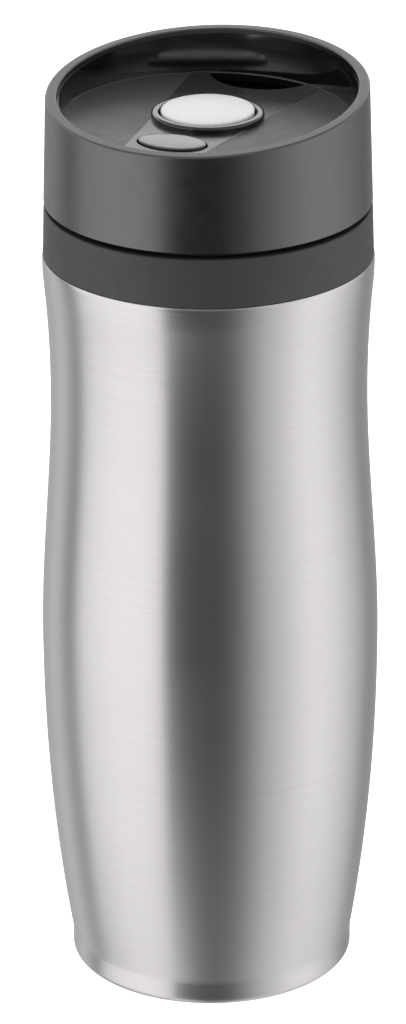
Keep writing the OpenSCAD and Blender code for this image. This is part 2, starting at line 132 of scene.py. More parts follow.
def turned(bm, section, segments=SEGMENTS, closed=True, place=upright):
    """Skins a section around the axis. section is a list of (radius, height), or a function of the angle."""
    at = section if callable(section) else lambda theta: section
    columns = []
    axis_verts = {}
    for i in range(segments):
        theta = TURN * i / segments
        column = []
        for k, (r, z) in enumerate(at(theta)):
            if r < 1e-7:
                if k not in axis_verts:
                    axis_verts[k] = bm.verts.new(place(theta, r, z))
                column.append(axis_verts[k])
            else:
                column.append(bm.verts.new(place(theta, r, z)))
        columns.append(column)
    count = len(columns[0])
    for i in range(segments):
        a, b = columns[i], columns[(i + 1) % segments]
        for k in range(count if closed else count - 1):
            m = (k + 1) % count
            corners = list(dict.fromkeys([a[k], b[k], b[m], a[m]]))
            if len(corners) > 2:
                bm.faces.new(corners)
    return columns


def skin(bm, rings):
    """Joins rings of vertices into a tube with closed ends."""
    for a, b in zip(rings, rings[1:]):
        for k in range(len(a)):
            m = (k + 1) % len(a)
            bm.faces.new([a[k], a[m], b[m], b[k]])
    bm.faces.new(rings[0][::-1])
    bm.faces.new(rings[-1])


def tube(bm, path, radius, sides=12):
    """Round wire along a list of points."""
    rings = []
    for i, point in enumerate(path):
        ahead = (path[min(i + 1, len(path) - 1)] - path[max(i - 1, 0)]).normalized()
        out = Vector((point.x, point.y, 0)).normalized()
        side = ahead.cross(out).normalized()
        out = side.cross(ahead)
        ring = []
        for k in range(sides):
            a = TURN * k / sides
            ring.append(bm.verts.new(point + radius * (math.cos(a) * out + math.sin(a) * side)))
        rings.append(ring)
    skin(bm, rings)


def thread_ridges(bm, root, crest, z):
    """One thread ridge for each start, which runs out at both ends. root and crest are its radii."""
    steps = 50
    run_out = 0.12
    for start in range(THREAD_STARTS):
        rings = []
        for i in range(steps + 1):
            t = i / steps
            rise = min(1, t / run_out, (1 - t) / run_out)
            rise = 0.02 + 0.98 * math.sin(rise * math.pi / 2)
            turned_by = THREAD_SWEEP * t
            height = z + THREAD_LEAD * turned_by / TURN
            theta = start * TURN / THREAD_STARTS + turned_by
            top = root + (crest - root) * rise
            shoulder = root + (crest - root) * rise * 0.8
            section = [(root, -0.8), (shoulder, -0.5), (top, -0.3), (top, 0.3), (shoulder, 0.5), (root, 0.8)]
            rings.append([bm.verts.new(upright(theta, r, height + h * MM)) for r, h in section])
        skin(bm, rings)


def box_at(bm, low, high, bevel=0.15 * MM):
    """Box between two corners with small bevels."""
    cube = bmesh.ops.create_cube(bm, size=1)["verts"]
    for v in cube:
        v.co = Vector([a + (b - a) * (c + 0.5) for a, b, c in zip(low, high, v.co)])
    edges = list({e for v in cube for e in v.link_edges})
    bmesh.ops.bevel(bm, geom=edges, offset=bevel, segments=2, affect="EDGES", profile=0.5)


def piece(name, bm, materials, body, slot, *nodes, sharp=40):
    """Turns a bmesh into a finished piece that rides on a body and stands for CAD nodes."""
    bmesh.ops.recalc_face_normals(bm, faces=bm.faces)
    mesh = bpy.data.meshes.new(name)
    bm.to_mesh(mesh)
    bm.free()
    for polygon in mesh.polygons:
        polygon.use_smooth = True
    mesh.set_sharp_from_angle(angle=math.radians(sharp))
    for material in materials:
        mesh.materials.append(material)
    made = bpy.data.objects.new(name, mesh)
    bpy.context.scene.collection.objects.link(made)
    normals = made.modifiers.new("weighted_normals", "WEIGHTED_NORMAL")
    normals.keep_sharp = True
    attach(made, body)
    if nodes:
        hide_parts(*nodes)
    return made


# ---- Materials ----

class Nodes:
    """Short names for building a node tree."""

    def __init__(self, name):
        self.material = bpy.data.materials.new(name)
        self.material.use_nodes = True
        self.tree = self.material.node_tree
        self.shader = self.tree.nodes["Principled BSDF"]
        self.place = self.node("TexCoord").outputs["Object"]

    def node(self, kind, **settings):
        made = self.tree.nodes.new("ShaderNode" + kind)
        for key, value in settings.items():
            setattr(made, key, value)
        return made

    def link(self, source, target):
        self.tree.links.new(source, target)

    def noise(self, scale, stretch=(1, 1, 1), detail=4, rough=0.5):
        """Noise over the object's own coordinates, in features per metre."""
        mapping = self.node("Mapping")
        mapping.inputs["Scale"].default_value = stretch
        self.link(self.place, mapping.inputs["Vector"])
        texture = self.node("TexNoise")
        texture.inputs["Scale"].default_value = scale
        texture.inputs["Detail"].default_value = detail
        texture.inputs["Roughness"].default_value = rough
        self.link(mapping.outputs["Vector"], texture.inputs["Vector"])
        return texture.outputs["Fac"]

    def spread(self, source, low, high, start=0.3, end=0.7):
        """Maps a noise value to a range."""
        made = self.node("MapRange")
        made.inputs["From Min"].default_value = start
        made.inputs["From Max"].default_value = end
        made.inputs["To Min"].default_value = low
        made.inputs["To Max"].default_value = high
        self.link(source, made.inputs["Value"])
        return made.outputs["Result"]

    def tint(self, source, low, high, start=0.3, end=0.7):
        """Colour that runs between two colours as source goes from start to end."""
        ramp = self.node("ValToRGB")
        ramp.color_ramp.elements[0].position = start
        ramp.color_ramp.elements[1].position = end
        ramp.color_ramp.elements[0].color = (*low, 1)
        ramp.color_ramp.elements[1].color = (*high, 1)
        self.link(source, ramp.inputs["Fac"])
        return ramp.outputs["Color"]

    def bump(self, source, depth, before=None):
        """Raises the surface by source, depth metres high, on top of an earlier bump."""
        made = self.node("Bump")
        made.inputs["Strength"].default_value = 1
        made.inputs["Distance"].default_value = depth
        self.link(source, made.inputs["Height"])
        if before:
            self.link(before, made.inputs["Normal"])
        return made.outputs["Normal"]

    def finish(self, colour=None, roughness=None, normal=None, **constants):
        for socket, source in (("Base Color", colour), ("Roughness", roughness), ("Normal", normal)):
            if source is not None:
                self.link(source, self.shader.inputs[socket])
        for name, value in constants.items():
            self.shader.inputs[name.replace("_", " ")].default_value = value
        return self.material


def grey(value, warm=0.0):
    """Grey colour, warmer (positive) or cooler (negative) by a share."""
    return (value * (1 + warm), value, value * (1 - warm))


def rosy(value):
    """Grey of this stainless steel, a little towards rose."""
    return (value * 1.022, value * 0.985, value)


def brushed_steel(name, value, roughness, anisotropy, groove):
    """Steel brushed around the axis: streaks that are long around and fine upwards."""
    n = Nodes(name)
    streaks = n.noise(14, stretch=(1, 1, 210), detail=3, rough=0.6)
    fine = n.noise(30, stretch=(1, 1, 330), detail=2, rough=0.6)
    cloud = n.noise(28, detail=2)
    colour = n.tint(streaks, rosy(value * 0.975), rosy(value * 1.02))
    rough = n.spread(cloud, roughness * 0.93, roughness * 1.07)
    normal = n.bump(fine, groove, n.bump(streaks, groove * 1.5))
    tangent = n.node("Tangent", direction_type="RADIAL", axis="Z")
    n.link(tangent.outputs["Tangent"], n.shader.inputs["Tangent"])
    return n.finish(colour, rough, normal, Metallic=1, Anisotropic=anisotropy, Anisotropic_Rotation=0.25)


def plastic(name, value, roughness, specular=0.5, grain=0.0, grain_size=0.35, warm=0.0, wear=0.06, ior=1.5):
    """Moulded plastic: faint flow marks in the colour, uneven polish and a fine grain."""
    n = Nodes(name)
    flow = n.noise(60, detail=3)
    polish = n.noise(240, detail=4, rough=0.6)
    grain_noise = n.noise(1000 / grain_size, detail=2)
    colour = n.tint(flow, grey(value * (1 - wear), warm), grey(value * (1 + wear), warm))
    rough = n.spread(polish, roughness * 0.9, roughness * 1.12)
    normal = n.bump(grain_noise, max(grain, 0.2e-6))
    return n.finish(colour, rough, normal, Specular_IOR_Level=specular, IOR=ior)


def silicone(name, value):
    """Milky silicone with a dull skin."""
    n = Nodes(name)
    cloud = n.noise(90, detail=3)
    skin = n.noise(1800, detail=3)
    colour = n.tint(cloud, grey(value * 0.95, 0.01), grey(value, 0.02))
    rough = n.spread(cloud, 0.42, 0.55)
    return n.finish(colour, rough, n.bump(skin, 6e-6), Subsurface_Weight=0.15, Subsurface_Scale=0.002)


def turned_metal(name, value, roughness):
    """Drawn or turned steel with faint marks along its surface."""
    n = Nodes(name)
    marks = n.noise(900, stretch=(1, 1, 3), detail=3)
    cloud = n.noise(150, detail=2)
    colour = n.tint(cloud, grey(value * 0.9, 0.01), grey(value, 0.01))
    rough = n.spread(marks, roughness * 0.8, roughness * 1.25)
    return n.finish(colour, rough, n.bump(marks, 3e-6), Metallic=1)


def cast_metal(name, value, roughness):
    """Dull grainy metal, such as solder or the sintered getter."""
    n = Nodes(name)
    lumps = n.noise(1500, detail=5, rough=0.65)
    colour = n.tint(lumps, grey(value * 0.7), grey(value * 1.2))
    rough = n.spread(lumps, roughness * 0.85, roughness * 1.1)
    return n.finish(colour, rough, n.bump(lumps, 40e-6), Metallic=0.8)


STEEL = brushed_steel("steel_brushed", 0.50, 0.27, 0.75, 0.35e-6)
LINER_STEEL = brushed_steel("steel_liner", 0.52, 0.30, 0.4, 1.0e-6)
BASE_STEEL = brushed_steel("steel_base", 0.50, 0.32, 0.3, 1.0e-6)
LID_PLASTIC = plastic("plastic_lid", 0.002, 0.3, specular=1.0, grain=2e-6, grain_size=0.3, ior=1.6)
COLLAR_PLASTIC = plastic("plastic_collar", 0.027, 0.52, specular=0.45, grain=6e-6, grain_size=0.3, warm=0.03)
WALL_GLOSS = plastic("plastic_bowl_gloss", 0.008, 0.07, specular=1.0)
STRIP_GLOSS = plastic("plastic_strip_gloss", 0.012, 0.27, specular=0.9)
FACET_SATIN = plastic("plastic_facet_satin", 0.045, 0.42, specular=0.6, grain=4e-6, grain_size=0.25)
RING_GLOSS = plastic("plastic_ring_gloss", 0.006, 0.08, specular=0.7)
KEY_GLOSS = plastic("plastic_key_gloss", 0.010, 0.16, specular=1.0)
BUTTON_WHITE = plastic("plastic_button_white", 0.9, 0.35, specular=0.5, grain=0.5e-6, wear=0.006, warm=0.002)
STOPPER_PLASTIC = plastic("plastic_stopper", 0.03, 0.42, grain=4e-6, grain_size=0.4)
HOUSING_PLASTIC = plastic("plastic_housing", 0.055, 0.45, grain=5e-6, grain_size=0.4)
LEVER_PLASTIC = plastic("plastic_lever", 0.34, 0.4, grain=2e-6)
SILICONE = silicone("silicone_milky", 0.70)
BOWL_SILICONE = silicone("silicone_bowl", 0.55)
HARDWARE = turned_metal("steel_turned", 0.62, 0.22)
SPRING_WIRE = turned_metal("steel_wire", 0.55, 0.28)
SOLDER = cast_metal("metal_solder", 0.40, 0.55)
GETTER = cast_metal("metal_getter", 0.28, 0.7)


# ---- Steel body ----

def shell_radius(z):
    """Radius of the steel's outline at a height above the band."""
    k = sum(z > knot[0] for knot in SHELL_KNOTS[1:-1])
    (za, ra, sa), (zb, rb, sb) = SHELL_KNOTS[k], SHELL_KNOTS[k + 1]
    h = zb - za
    t = (z - za) / h
    ends = ra * (2 * t**3 - 3 * t**2 + 1) + rb * (3 * t**2 - 2 * t**3)
    return ends + sa * h * (t**3 - 2 * t**2 + t) + sb * h * (t**3 - t**2)


def shell_curve(low, high, inset, steps):
    """Points (radius, height) along the outline, at a distance inside it."""
    return [(shell_radius(low + (high - low) * i / steps) - inset, low + (high - low) * i / steps)
            for i in range(steps + 1)]


def make_steel_shell():
    top = SHELL_KNOTS[-1][0]
    band = SHELL_KNOTS[0][0]
    edge = 1.6 * MM
    shoulder = 2 * MM
    shoulder_turn = 26
    foot_r = STEEL_LOW_R - edge
    foot_in_r = foot_r - 0.8 * MM
    shoulder_z = top - shoulder * math.sin(math.radians(shoulder_turn))
    shoulder_r = shell_radius(shoulder_z) - shoulder
    neck_top = LIP_Z - STEEL_T
    section = (
        arc(foot_r, edge, edge, -90, 0, 8)
        + [(STEEL_LOW_R, 3 * MM), (STEEL_LOW_R, band - 0.5 * MM)]
        + shell_curve(band + 0.3 * MM, shoulder_z - 0.1 * MM, 0, 150)
        + arc(shoulder_r, shoulder_z, shoulder, 0, shoulder_turn, 6)
        + [(NECK_R, top), (NECK_R, neck_top), (NECK_R - STEEL_T, neck_top), (NECK_R - STEEL_T, top - STEEL_T)]
        + shell_curve(band + MM, top - STEEL_T, STEEL_T, 60)[::-1]
        + [(STEEL_LOW_R - STEEL_T, band), (STEEL_LOW_R - STEEL_T, edge), (foot_r, STEEL_T)]
        + [(foot_in_r, STEEL_T), (foot_in_r, 0)]
    )
    bm = bmesh.new()
    turned(bm, section, segments=256)
    return piece("steel_shell", bm, [STEEL], "mug", "brushed_steel", "outer_shell", sharp=30)


def make_liner():
    wall_gap = 4 * MM
    floor_z = 7.2 * MM
    corner = 6 * MM
    corner_z = floor_z + corner
    ledge_z = BODY_TOP - 6.45 * MM
    ledge_edge = 0.4 * MM
    throat_z = ledge_z - 3 * MM
    wall_top = throat_z - 7 * MM
    throat_r = 27.4 * MM
    throat_out_r = throat_r + STEEL_T
    neck_in = 30.4 * MM
    neck_out = neck_in + STEEL_T
    lip_edge = 0.3 * MM
    wall_low = corner_z + 3 * MM
    floor_r = shell_radius(wall_low) - wall_gap - corner
    section = (
        [(0, floor_z), (10 * MM, floor_z)]
        + arc(floor_r, corner_z, corner, -90, -10, 10)
        + shell_curve(wall_low, wall_top, wall_gap, 80)
        + [(throat_r, throat_z), (throat_r, ledge_z - ledge_edge), (throat_r + ledge_edge, ledge_z)]
        + [(neck_in, ledge_z), (neck_in, LIP_Z - lip_edge), (neck_in + lip_edge, LIP_Z)]
        + [(NECK_R, LIP_Z), (NECK_R, LIP_Z - STEEL_T), (neck_out, LIP_Z - STEEL_T)]
        + [(neck_out, ledge_z - STEEL_T), (throat_out_r, ledge_z - STEEL_T), (throat_out_r, throat_z)]
        + shell_curve(wall_low, wall_top, wall_gap - STEEL_T, 40)[::-1]
        + arc(floor_r, corner_z, corner + STEEL_T, -10, -90, 10)
        + [(0, floor_z - STEEL_T)]
    )
    bm = bmesh.new()
    turned(bm, section, closed=False)
    thread_ridges(bm, neck_in + 0.1 * MM, NECK_CREST_R, BODY_TOP + 0.05 * MM)
    return piece("steel_liner", bm, [LINER_STEEL], "mug", "liner_steel", "inner_liner", sharp=30)


def make_collar():
    low_r = 35.55 * MM
    top_r = 35.25 * MM
    neck_clear_r = 33.05 * MM
    lip_in_r = 31.4 * MM
    lip_clear_z = LIP_Z + 0.05 * MM
    section = rounded([
        (neck_clear_r, BODY_TOP), (low_r, BODY_TOP, 0.25 * MM), (top_r, COLLAR_TOP, 0.45 * MM),
        (lip_in_r, COLLAR_TOP, 0.3 * MM), (lip_in_r, lip_clear_z), (neck_clear_r, lip_clear_z),
    ])
    bm = bmesh.new()
    turned(bm, section)
    return piece("collar", bm, [COLLAR_PLASTIC], "mug", "collar_plastic", "collar_ring", sharp=50)


# ---- Lid ----

def casing_radius(z, inset=0.0):
    return LID_R - TAPER * (z - LID_LOW) - inset


def on_slope(theta, z0, slope, dz, inset):
    """Point (radius, height) on the tapered casing, dz above a sloping plane through z0 on the axis."""
    lift = slope * math.sin(theta)
    r = (casing_radius(z0 + dz) - inset) / (1 + TAPER * lift)
    return r, z0 + dz + lift * r


def rim_height(theta, r, dz=0.0):
    return RIM_Z + RIM_SLOPE * r * math.sin(theta) + dz


def make_casing():
    edge = 0.5 * MM
    lip_edge = 0.3 * MM
    lip_r = 32.1 * MM
    wall = 1.2 * MM
    lip_t = 1.2 * MM
    low_edge = 0.3 * MM
    steps = 8

    def section(theta):
        top_r, top_z = on_slope(theta, RIM_Z, RIM_SLOPE, -edge, 0)
        low_r, low_z = casing_radius(LID_LOW + low_edge), LID_LOW + low_edge
        points = [(casing_radius(LID_LOW, low_edge), LID_LOW), (low_r, low_z)]
        points += [(low_r + (top_r - low_r) * t, low_z + (top_z - low_z) * t) for t in (0.02, 0.5, 0.98)]
        rim = arc(top_r - edge, -edge, edge, 0, 90, steps)
        rim += arc(lip_r + lip_edge, -lip_edge, lip_edge, 90, 180, steps)
        rim.append((lip_r, -lip_t))
        points += [(r, rim_height(theta, r, dz)) for r, dz in rim]
        points.append(on_slope(theta, RIM_Z, RIM_SLOPE, -lip_t, wall))
        points.append((casing_radius(LID_LOW, wall), LID_LOW))
        return points

    bm = bmesh.new()
    turned(bm, section, segments=256)
    return piece("lid_casing", bm, [LID_PLASTIC], "lid", "lid_plastic", "lid_shell", sharp=45)


# The bowl's drafted wall and its floor: strip from the key to the drink opening, holes and rounded edges
STRIP_RISE = 0.15 * MM
STRIP_EDGE = 0.25 * MM
BOWL_INSET = 2.47 * MM
BOWL_FOOT_R = 31.15 * MM
BOWL_DRAFT = 0.13
CORNER_R = 0.12 * MM
KEY_Y = -19.6 * MM
KEY_HOLE = (7.75 * MM, 5.2 * MM)
KEY_HOLE_MEAN_R = 6.5 * MM
HOLE_R = 12 * MM
HOLE_Y = 33.2 * MM
HOLE_FAR_R = 30.8 * MM
SLEEVE_R = 11.55 * MM
EDGE_R = 0.15 * MM
FLOOR_T = 1.6 * MM
STRIP_MID_W = 11.4 * MM
STRIP_WIDENING = 0.12
STRIP_ENDS = (-29.7 * MM, 27 * MM)


def strip_half_width(y):
    return STRIP_MID_W + STRIP_WIDENING * y


def floor_plane(y, dz=0.0):
    return FLOOR_Z + FLOOR_SLOPE * y + dz


def bowl_wall(theta, z0, slope, dz):
    """Point (radius, height) on the bowl's drafted wall, dz above a sloping plane through z0 on the axis."""
    lift = slope * math.sin(theta)
    r = (BOWL_FOOT_R + BOWL_DRAFT * (z0 + dz - FLOOR_Z)) / (1 - BOWL_DRAFT * lift)
    return r, z0 + dz + lift * r


def wall_foot(theta):
    """Inner radius of the bowl's wall where the fillet from the floor ends."""
    return bowl_wall(theta, FLOOR_Z, FLOOR_SLOPE, CORNER_R)[0]


def drink_hole_distance(x, y):
    return max(math.hypot(x, y - HOLE_Y) - HOLE_R, math.hypot(x, y) - HOLE_FAR_R)


def key_hole_distance(x, y):
    reach = math.hypot(x / KEY_HOLE[0], (y - KEY_Y) / KEY_HOLE[1])
    return (reach - 1) * KEY_HOLE_MEAN_R


def fillet_drop(distance, radius):
    """How far a rounded edge has dropped at a distance from the hole's wall."""
    if distance >= radius:
        return 0.0
    return radius - math.sqrt(max(radius**2 - (radius - distance) ** 2, 0))


def floor_height(x, y):
    """Height of the bowl's floor: plane, raised strip, rounded hole edges and the fillet up to the wall."""
    z = floor_plane(y)
    beside = abs(x) - strip_half_width(y)
    z += STRIP_RISE * min(1, max(0, 1 - beside / STRIP_EDGE))
    z -= fillet_drop(drink_hole_distance(x, y), EDGE_R)
    z -= fillet_drop(key_hole_distance(x, y), EDGE_R)
    return z + fillet_drop(wall_foot(math.atan2(y, x)) - math.hypot(x, y), CORNER_R)


def loop_edges(start, count):
    return [(start + i, start + (i + 1) % count) for i in range(count)]


def oval_outline(half_x, half_y, centre_y, count):
    angles = [TURN * i / count for i in range(count)]
    return [(half_x * math.cos(a), centre_y + half_y * math.sin(a)) for a in angles]


def drink_hole_outline(offset):
    """Lens between the opening's circle and the far limit, grown by an offset."""
    near_r, far_r = HOLE_R + offset, HOLE_FAR_R + offset
    y = (far_r**2 - near_r**2 + HOLE_Y**2) / (2 * HOLE_Y)
    x = math.sqrt(far_r**2 - y**2)
    far = math.atan2(x, y)
    near = math.atan2(x, HOLE_Y - y)
    steps = 28
    points = []
    for k in range(steps):
        a = -far + 2 * far * k / steps
        points.append((far_r * math.sin(a), far_r * math.cos(a)))
    for k in range(steps):
        a = near - 2 * near * k / steps
        points.append((near_r * math.sin(a), HOLE_Y - near_r * math.cos(a)))
    return points


def middle(verts, triangle):
    return sum(verts[i].x for i in triangle) / 3, sum(verts[i].y for i in triangle) / 3


def on_wall_foot(x, y):
    return abs(math.hypot(x, y) - wall_foot(math.atan2(y, x))) < 1e-6


def floor_mesh():
    """Flat triangulation of the bowl's floor: (points, triangles), without the holes."""
    points, edges = [], []

    def add_loop(loop):
        edges.extend(loop_edges(len(points), len(loop)))
        points.extend(Vector(p) for p in loop)

    steps = 6
    for k in range(steps + 1):
        inward = CORNER_R * (1 - math.cos(math.pi / 2 * k / steps))
        ring = [(wall_foot(TURN * i / SEGMENTS) - inward, TURN * i / SEGMENTS) for i in range(SEGMENTS)]
        add_loop([(r * math.cos(a), r * math.sin(a)) for r, a in ring])
    for share in (0, 0.07, 0.3, 0.65, 1):
        add_loop(drink_hole_outline(EDGE_R * share))
        grow = 1 + EDGE_R * share / KEY_HOLE_MEAN_R
        add_loop(oval_outline(KEY_HOLE[0] * grow, KEY_HOLE[1] * grow, KEY_Y, 72))
    add_loop(oval_outline(SLEEVE_R, SLEEVE_R, 0, 96))
    for side in (-1, 1):
        for beyond in (0, STRIP_EDGE):
            edges.append((len(points), len(points) + 1))
            points.extend(Vector((side * (strip_half_width(y) + beyond), y)) for y in STRIP_ENDS)
    verts, _, faces, *_ = delaunay_2d_cdt(points, edges, [], 0, 1e-8)
    kept = []
    for face in faces:
        x, y = middle(verts, face)
        in_hole = drink_hole_distance(x, y) < 0 or key_hole_distance(x, y) < 0 or math.hypot(x, y) < SLEEVE_R
        if not in_hole:
            kept.append(face)
    return verts, kept


def screw_boss(bm, side):
    """Boss under the floor for one of the housing's screws."""
    boss_r = 2.6 * MM
    hole_r = 1.15 * MM
    centre = Vector((side * 16.2 * MM, 6 * MM, 0))
    boss_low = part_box("housing_screws")[1].z - 4.96 * MM
    boss_top = floor_plane(centre.y, -0.8 * MM)
    hole_top = floor_plane(centre.y, -1.4 * MM)
    section = [(boss_r, boss_top), (boss_r, boss_low), (hole_r, boss_low), (hole_r, hole_top), (0, hole_top)]
    turned(bm, section, 32, closed=False, place=lambda theta, r, z: upright(theta, r, z) + centre)


def make_bowl():
    thickness = 1.2 * MM
    top_gap = 1.25 * MM
    wall_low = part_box("drip_bowl")[0].z
    verts, faces = floor_mesh()
    bm = bmesh.new()
    top, low = {}, {}
    for i in sorted({i for face in faces for i in face}):
        x, y = verts[i]
        top[i] = bm.verts.new((x, y, floor_height(x, y)))
        theta = math.atan2(y, x)
        if on_wall_foot(x, y):
            r, z = on_slope(theta, FLOOR_Z, FLOOR_SLOPE, -FLOOR_T, BOWL_INSET)
            low[i] = bm.verts.new((r * math.cos(theta), r * math.sin(theta), z))
        else:
            low[i] = bm.verts.new((x, y, floor_plane(y, -FLOOR_T)))
    for face in faces:
        upper = bm.faces.new([top[i] for i in face])
        x, y = middle(verts, face)
        in_wall_fillet = math.hypot(x, y) > wall_foot(math.atan2(y, x)) - CORNER_R
        on_strip = abs(x) < strip_half_width(y) + STRIP_EDGE
        upper.material_index = 0 if in_wall_fillet else 1 if on_strip else 2
        bm.faces.new([low[i] for i in reversed(face)])
    sides = [side for face in faces for side in zip(face, (*face[1:], face[0]))]
    shared = set(sides)
    for a, b in sides:
        if (b, a) not in shared and not on_wall_foot(*verts[a]):
            bm.faces.new([top[b], top[a], low[a], low[b]])

    def wall(theta):
        foot_r, foot_z = bowl_wall(theta, FLOOR_Z, FLOOR_SLOPE, CORNER_R)
        lip_r, lip_z = bowl_wall(theta, RIM_Z, RIM_SLOPE, -top_gap)
        rise = [(foot_r + (lip_r - foot_r) * t, foot_z + (lip_z - foot_z) * t) for t in (0, 0.33, 0.67, 1)]
        outer = on_slope(theta, RIM_Z, RIM_SLOPE, -top_gap, BOWL_INSET - thickness)
        low_out = (casing_radius(wall_low, BOWL_INSET - thickness), wall_low)
        low_in = (casing_radius(wall_low, BOWL_INSET), wall_low)
        under = on_slope(theta, FLOOR_Z, FLOOR_SLOPE, -FLOOR_T, BOWL_INSET)
        return rise + [outer, low_out, low_in, under]

    turned(bm, wall, closed=False)
    for side in (-1, 1):
        screw_boss(bm, side)
    bmesh.ops.remove_doubles(bm, verts=bm.verts, dist=1e-6)
    finishes = [WALL_GLOSS, STRIP_GLOSS, FACET_SATIN]
    return piece("bowl", bm, finishes, "lid", "bowl_plastic", "drip_bowl", sharp=32)


def make_ring():
    """Ring around the button: its sleeve is upright and its top follows the slope of the floor."""
    in_r = 10.35 * MM
    sleeve_r = 11.5 * MM
    flange_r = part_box("button_collar")[1].x
    sleeve_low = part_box("button_collar")[0].z
    flange_low = FLOOR_Z - MM
    top = FLOOR_Z + 1.4 * MM
    section = rounded([
        (in_r, sleeve_low), (sleeve_r, sleeve_low), (sleeve_r, flange_low), (flange_r, flange_low),
        (flange_r, top, 0.65 * MM), (in_r, top, 0.45 * MM),
    ], steps=8)
    bm = bmesh.new()
    turned(bm, section, place=lambda theta, r, z: upright(theta, r, z + FLOOR_SLOPE * r * math.sin(theta)))
    return piece("button_ring", bm, [RING_GLOSS], "lid", "ring_plastic", "button_collar", sharp=45)


def make_stopper():
    valve_r = 9 * MM
    lip_r = 27.1 * MM
    spigot_r = 26 * MM
    spigot_in_r = 24.2 * MM
    plug_r = 29.2 * MM
    plug_in_r = 27.4 * MM
    flange_r = 33.7 * MM
    lip_top = SPIGOT_Z + 0.9 * MM
    valve_floor = SPIGOT_Z + 1.8 * MM
    plug_low = SPIGOT_Z + 3.6 * MM
    plug_floor = plug_low + 1.8 * MM
    flange_low = COLLAR_TOP + 0.3 * MM
    flange_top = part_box("stopper_body")[1].z
    section = rounded([
        (valve_r, SPIGOT_Z, 0.3 * MM), (lip_r, SPIGOT_Z, 0.3 * MM), (lip_r, lip_top, 0.2 * MM),
        (spigot_r, lip_top), (spigot_r, plug_low), (plug_r, plug_low, 0.4 * MM),
        (plug_r, flange_low, 0.2 * MM), (flange_r, flange_low, 0.3 * MM), (flange_r, flange_top, 0.3 * MM),
        (plug_in_r, flange_top), (plug_in_r, plug_floor), (spigot_in_r, plug_floor),
        (spigot_in_r, valve_floor), (valve_r, valve_floor, 0.3 * MM),
    ], steps=4)
    bm = bmesh.new()
    turned(bm, section)
    thread_ridges(bm, plug_r - 0.1 * MM, PLUG_CREST_R, BODY_TOP - 1.85 * MM)
    return piece("stopper", bm, [STOPPER_PLASTIC], "lid", "stopper_plastic", "stopper_body", sharp=35)


def make_lid_gasket():
    low, high = (corner.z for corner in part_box("lid_seal"))
    in_r = 26.05 * MM
    out_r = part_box("lid_seal")[1].x
    face_r = out_r - 0.5 * MM
    lips = 0.45 * MM
    section = rounded([
        (in_r, low + 0.2 * MM), (in_r + lips, low), (face_r, low), (out_r, low + lips, 0.2 * MM),
        (out_r - 0.7 * MM, (low + high) / 2, 0.25 * MM), (out_r, high - lips, 0.2 * MM), (face_r, high),
        (in_r, high),
    ], steps=4)
    bm = bmesh.new()
    turned(bm, section)
    return piece("lid_gasket", bm, [SILICONE], "seal", "silicone", "lid_seal", sharp=50)


def make_valve_gasket():
    low, high = (corner.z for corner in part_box("valve_seal"))
    in_r = 6.5 * MM
    out_r = 11.8 * MM
    section = rounded([
        (in_r, low), (out_r, low), (out_r, high, 0.35 * MM), (9.9 * MM, high - 0.3 * MM, 0.2 * MM),
        (in_r, high, 0.3 * MM),
    ], steps=4)
    bm = bmesh.new()
    turned(bm, section, 128)
    return piece("valve_gasket", bm, [SILICONE], "button", "silicone", "valve_seal", sharp=50)


# ---- Button, key and springs ----

def make_button():
    """Domed cap with a neck for the latch, a catch rim below and a socket for the stem."""
    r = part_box("push_button")[1].x
    dome = 0.5 * MM
    edge = 0.45 * MM
    dome_r = (r**2 + dome**2) / (2 * dome)
    neck_r = r - 0.8 * MM
    inner_r = neck_r - MM
    socket_r = 4 * MM
    stem_r = 2.22 * MM
    cap_low = BUTTON_LOW + 8.9 * MM
    neck_low = BUTTON_LOW + 4 * MM
    socket_low = BUTTON_LOW + 2 * MM
    stem_top = BUTTON_LOW + 8 * MM
    crown = [(r * k / 10, BUTTON_TOP - dome_r + math.sqrt(dome_r**2 - (r * k / 10) ** 2)) for k in range(10)]
    section = crown + arc(r - edge, BUTTON_TOP - dome - edge, edge, 81, 0, 8) + [
        (r, BUTTON_LOW + 8.5 * MM), (neck_r, BUTTON_LOW + 7.9 * MM), (neck_r, neck_low),
        (r - 0.2 * MM, neck_low), (r, neck_low - 0.2 * MM), (r, BUTTON_LOW + 0.3 * MM),
        (r - 0.3 * MM, BUTTON_LOW), (inner_r, BUTTON_LOW), (inner_r, cap_low), (socket_r, cap_low),
        (socket_r, socket_low), (stem_r, socket_low), (stem_r, stem_top), (0, stem_top),
    ]
    bm = bmesh.new()
    turned(bm, section, 160, closed=False)
    return piece("button", bm, [BUTTON_WHITE], "button", "button_plastic", "push_button", sharp=40)


